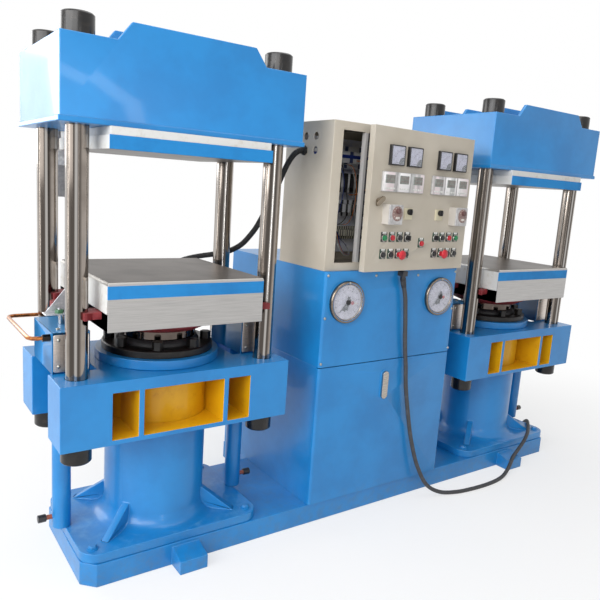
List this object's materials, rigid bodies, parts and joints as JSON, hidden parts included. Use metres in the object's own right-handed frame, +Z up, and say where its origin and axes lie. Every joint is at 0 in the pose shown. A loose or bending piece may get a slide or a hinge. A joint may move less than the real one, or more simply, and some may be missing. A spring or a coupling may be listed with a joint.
{
  "type": "rubber vulcanizing press",
  "caption": "Twin-station hydraulic vulcanizing press: four-pillar frames with heated platens either side of a shared control cabinet, on one long base.",
  "frame": {"origin": "on the floor under the base, midway between the two stations, in the plane through the pillars' middle", "axes": "+X along the machine from station A on the left to station B on the right, +Y from the operator's front towards the back, +Z up"},
  "size_m": [2.6001, 0.9206, 1.7053],
  "materials": {
    "blue_paint": "semi-gloss bright blue machine enamel",
    "beige_paint": "satin grey-beige powder coat",
    "black_steel": "blackened steel with a thin film of oil",
    "chrome_plate": "ground and hard-chromed, mirror bright",
    "red_paint": "satin oxide red primer",
    "platen_steel": "ground heating plate and brushed guard sheet",
    "lock_chrome": "polished die-cast handle",
    "black_plastic": "smooth moulded black plastic",
    "green_plastic": "smooth moulded green plastic",
    "red_plastic": "smooth moulded red plastic",
    "conduit_rubber": "matt black corrugated conduit",
    "cable_rubber": "dull grey rubber sheath"
  },
  "bodies": {
    "machine_frame": {"base_frame": "blue_paint", "cylinder_a": "blue_paint", "gland_ring_a": "black_steel", "lower_beam_a": "blue_paint", "upper_platen_a": "platen_steel", "crosshead_a": "blue_paint", "cylinder_b": "blue_paint", "gland_ring_b": "black_steel", "lower_beam_b": "blue_paint", "upper_platen_b": "platen_steel", "crosshead_b": "blue_paint", "pillar_a_front_left": "chrome_plate", "pillar_a_front_right": "chrome_plate", "pillar_a_back_left": "chrome_plate", "pillar_a_back_right": "chrome_plate", "pillar_b_front_left": "chrome_plate", "pillar_b_front_right": "chrome_plate", "pillar_b_back_left": "chrome_plate", "pillar_b_back_right": "chrome_plate", "side_cylinder_a_left": "blue_paint", "side_cylinder_a_right": "blue_paint", "side_cylinder_b_left": "blue_paint", "side_cylinder_b_right": "blue_paint", "lower_cabinet": "blue_paint", "front_cover": "blue_paint", "gauge_shroud": "blue_paint", "upper_cabinet": "beige_paint", "platen_conduit": "conduit_rubber", "supply_cable": "cable_rubber", "cable_coil": "cable_rubber"},
    "press_table_a": {"ram_a": "chrome_plate", "moving_table_a": "red_paint", "lower_platen_a": "platen_steel"},
    "press_table_b": {"ram_b": "chrome_plate", "moving_table_b": "red_paint", "lower_platen_b": "platen_steel"},
    "door": {"instrument_door": "beige_paint"},
    "a_close_button_body": {"a_close_button": "green_plastic"},
    "a_open_button_body": {"a_open_button": "red_plastic"},
    "a_pump_button_body": {"a_pump_button": "black_plastic"},
    "a_mode_selector_body": {"a_mode_selector": "black_plastic"},
    "a_heat_button_body": {"a_heat_button": "black_plastic"},
    "a_vent_button_body": {"a_vent_button": "black_plastic"},
    "a_stop_mushroom_body": {"a_stop_mushroom": "red_plastic"},
    "a_reset_button_body": {"a_reset_button": "black_plastic"},
    "b_mode_selector_body": {"b_mode_selector": "black_plastic"},
    "b_pump_button_body": {"b_pump_button": "black_plastic"},
    "b_open_button_body": {"b_open_button": "red_plastic"},
    "b_close_button_body": {"b_close_button": "green_plastic"},
    "b_heat_button_body": {"b_heat_button": "black_plastic"},
    "b_stop_mushroom_body": {"b_stop_mushroom": "red_plastic"},
    "b_vent_button_body": {"b_vent_button": "black_plastic"},
    "b_reset_button_body": {"b_reset_button": "black_plastic"},
    "centre_stop_button_body": {"centre_stop_button": "red_plastic"},
    "a_rotary_switch_body": {"a_rotary_switch": "black_plastic"},
    "b_rotary_switch_body": {"b_rotary_switch": "black_plastic"},
    "door_lock_body": {"door_lock": "lock_chrome"},
    "cover_latch_body": {"cover_latch": "lock_chrome"},
    "gauge_needle_a_body": {"gauge_needle_a": "black_plastic"},
    "gauge_needle_b_body": {"gauge_needle_b": "black_plastic"}
  },
  "joints": [
    {"name": "press_a_stroke", "type": "slide", "parent": "machine_frame", "child": "press_table_a", "axis": [0, 0, 1], "range_m": [0, 0.37]},
    {"name": "press_b_stroke", "type": "slide", "parent": "machine_frame", "child": "press_table_b", "axis": [0, 0, 1], "range_m": [0, 0.37]},
    {"name": "door_hinge", "type": "hinge", "parent": "machine_frame", "child": "door", "pos_m": [0.3543, -0.24, 1.253], "axis": [0, 0, 1], "range_deg": [-4, 105]},
    {"name": "a_close_button_press", "type": "slide", "parent": "door", "child": "a_close_button_body", "axis": [-0.0698, 0.9976, 0], "range_m": [0, 0.004], "stiffness_N_per_m": 400},
    {"name": "a_open_button_press", "type": "slide", "parent": "door", "child": "a_open_button_body", "axis": [-0.0698, 0.9976, 0], "range_m": [0, 0.004], "stiffness_N_per_m": 400},
    {"name": "a_pump_button_press", "type": "slide", "parent": "door", "child": "a_pump_button_body", "axis": [-0.0698, 0.9976, 0], "range_m": [0, 0.004], "stiffness_N_per_m": 400},
    {"name": "a_mode_selector_turn", "type": "hinge", "parent": "door", "child": "a_mode_selector_body", "pos_m": [-0.00373, -0.29511, 1.118], "axis": [-0.0698, 0.9976, 0], "range_deg": [-45, 45]},
    {"name": "a_heat_button_press", "type": "slide", "parent": "door", "child": "a_heat_button_body", "axis": [-0.0698, 0.9976, 0], "range_m": [0, 0.004], "stiffness_N_per_m": 400},
    {"name": "a_vent_button_press", "type": "slide", "parent": "door", "child": "a_vent_button_body", "axis": [-0.0698, 0.9976, 0], "range_m": [0, 0.004], "stiffness_N_per_m": 400},
    {"name": "a_stop_mushroom_press", "type": "slide", "parent": "door", "child": "a_stop_mushroom_body", "axis": [-0.0698, 0.9976, 0], "range_m": [0, 0.004], "stiffness_N_per_m": 400},
    {"name": "a_reset_button_press", "type": "slide", "parent": "door", "child": "a_reset_button_body", "axis": [-0.0698, 0.9976, 0], "range_m": [0, 0.004], "stiffness_N_per_m": 400},
    {"name": "b_mode_selector_turn", "type": "hinge", "parent": "door", "child": "b_mode_selector_body", "pos_m": [0.16187, -0.28353, 1.118], "axis": [-0.0698, 0.9976, 0], "range_deg": [-45, 45]},
    {"name": "b_pump_button_press", "type": "slide", "parent": "door", "child": "b_pump_button_body", "axis": [-0.0698, 0.9976, 0], "range_m": [0, 0.004], "stiffness_N_per_m": 400},
    {"name": "b_open_button_press", "type": "slide", "parent": "door", "child": "b_open_button_body", "axis": [-0.0698, 0.9976, 0], "range_m": [0, 0.004], "stiffness_N_per_m": 400},
    {"name": "b_close_button_press", "type": "slide", "parent": "door", "child": "b_close_button_body", "axis": [-0.0698, 0.9976, 0], "range_m": [0, 0.004], "stiffness_N_per_m": 400},
    {"name": "b_heat_button_press", "type": "slide", "parent": "door", "child": "b_heat_button_body", "axis": [-0.0698, 0.9976, 0], "range_m": [0, 0.004], "stiffness_N_per_m": 400},
    {"name": "b_stop_mushroom_press", "type": "slide", "parent": "door", "child": "b_stop_mushroom_body", "axis": [-0.0698, 0.9976, 0], "range_m": [0, 0.004], "stiffness_N_per_m": 400},
    {"name": "b_vent_button_press", "type": "slide", "parent": "door", "child": "b_vent_button_body", "axis": [-0.0698, 0.9976, 0], "range_m": [0, 0.004], "stiffness_N_per_m": 400},
    {"name": "b_reset_button_press", "type": "slide", "parent": "door", "child": "b_reset_button_body", "axis": [-0.0698, 0.9976, 0], "range_m": [0, 0.004], "stiffness_N_per_m": 400},
    {"name": "centre_stop_button_press", "type": "slide", "parent": "door", "child": "centre_stop_button_body", "axis": [-0.0698, 0.9976, 0], "range_m": [0, 0.004], "stiffness_N_per_m": 400},
    {"name": "a_rotary_switch_turn", "type": "hinge", "parent": "door", "child": "a_rotary_switch_body", "pos_m": [-0.01071, -0.2956, 1.216], "axis": [-0.0698, 0.9976, 0], "range_deg": [-45, 45]},
    {"name": "b_rotary_switch_turn", "type": "hinge", "parent": "door", "child": "b_rotary_switch_body", "pos_m": [0.16885, -0.28304, 1.216], "axis": [-0.0698, 0.9976, 0], "range_deg": [-45, 45]},
    {"name": "door_lock_turn", "type": "hinge", "parent": "door", "child": "door_lock_body", "pos_m": [-0.17631, -0.30718, 1.251], "axis": [-0.0698, 0.9976, 0], "range_deg": [0, 90]},
    {"name": "cover_latch_lift", "type": "hinge", "parent": "machine_frame", "child": "cover_latch_body", "pos_m": [-0.016, -0.2513, 0.582], "axis": [-1, 0, 0], "range_deg": [0, 40]},
    {"name": "gauge_needle_a_turn", "type": "hinge", "parent": "machine_frame", "child": "gauge_needle_a_body", "pos_m": [-0.245, -0.26, 0.874], "axis": [0, 1, 0], "range_deg": [0, 270]},
    {"name": "gauge_needle_b_turn", "type": "hinge", "parent": "machine_frame", "child": "gauge_needle_b_body", "pos_m": [0.245, -0.26, 0.874], "axis": [0, 1, 0], "range_deg": [0, 270]}
  ]
}
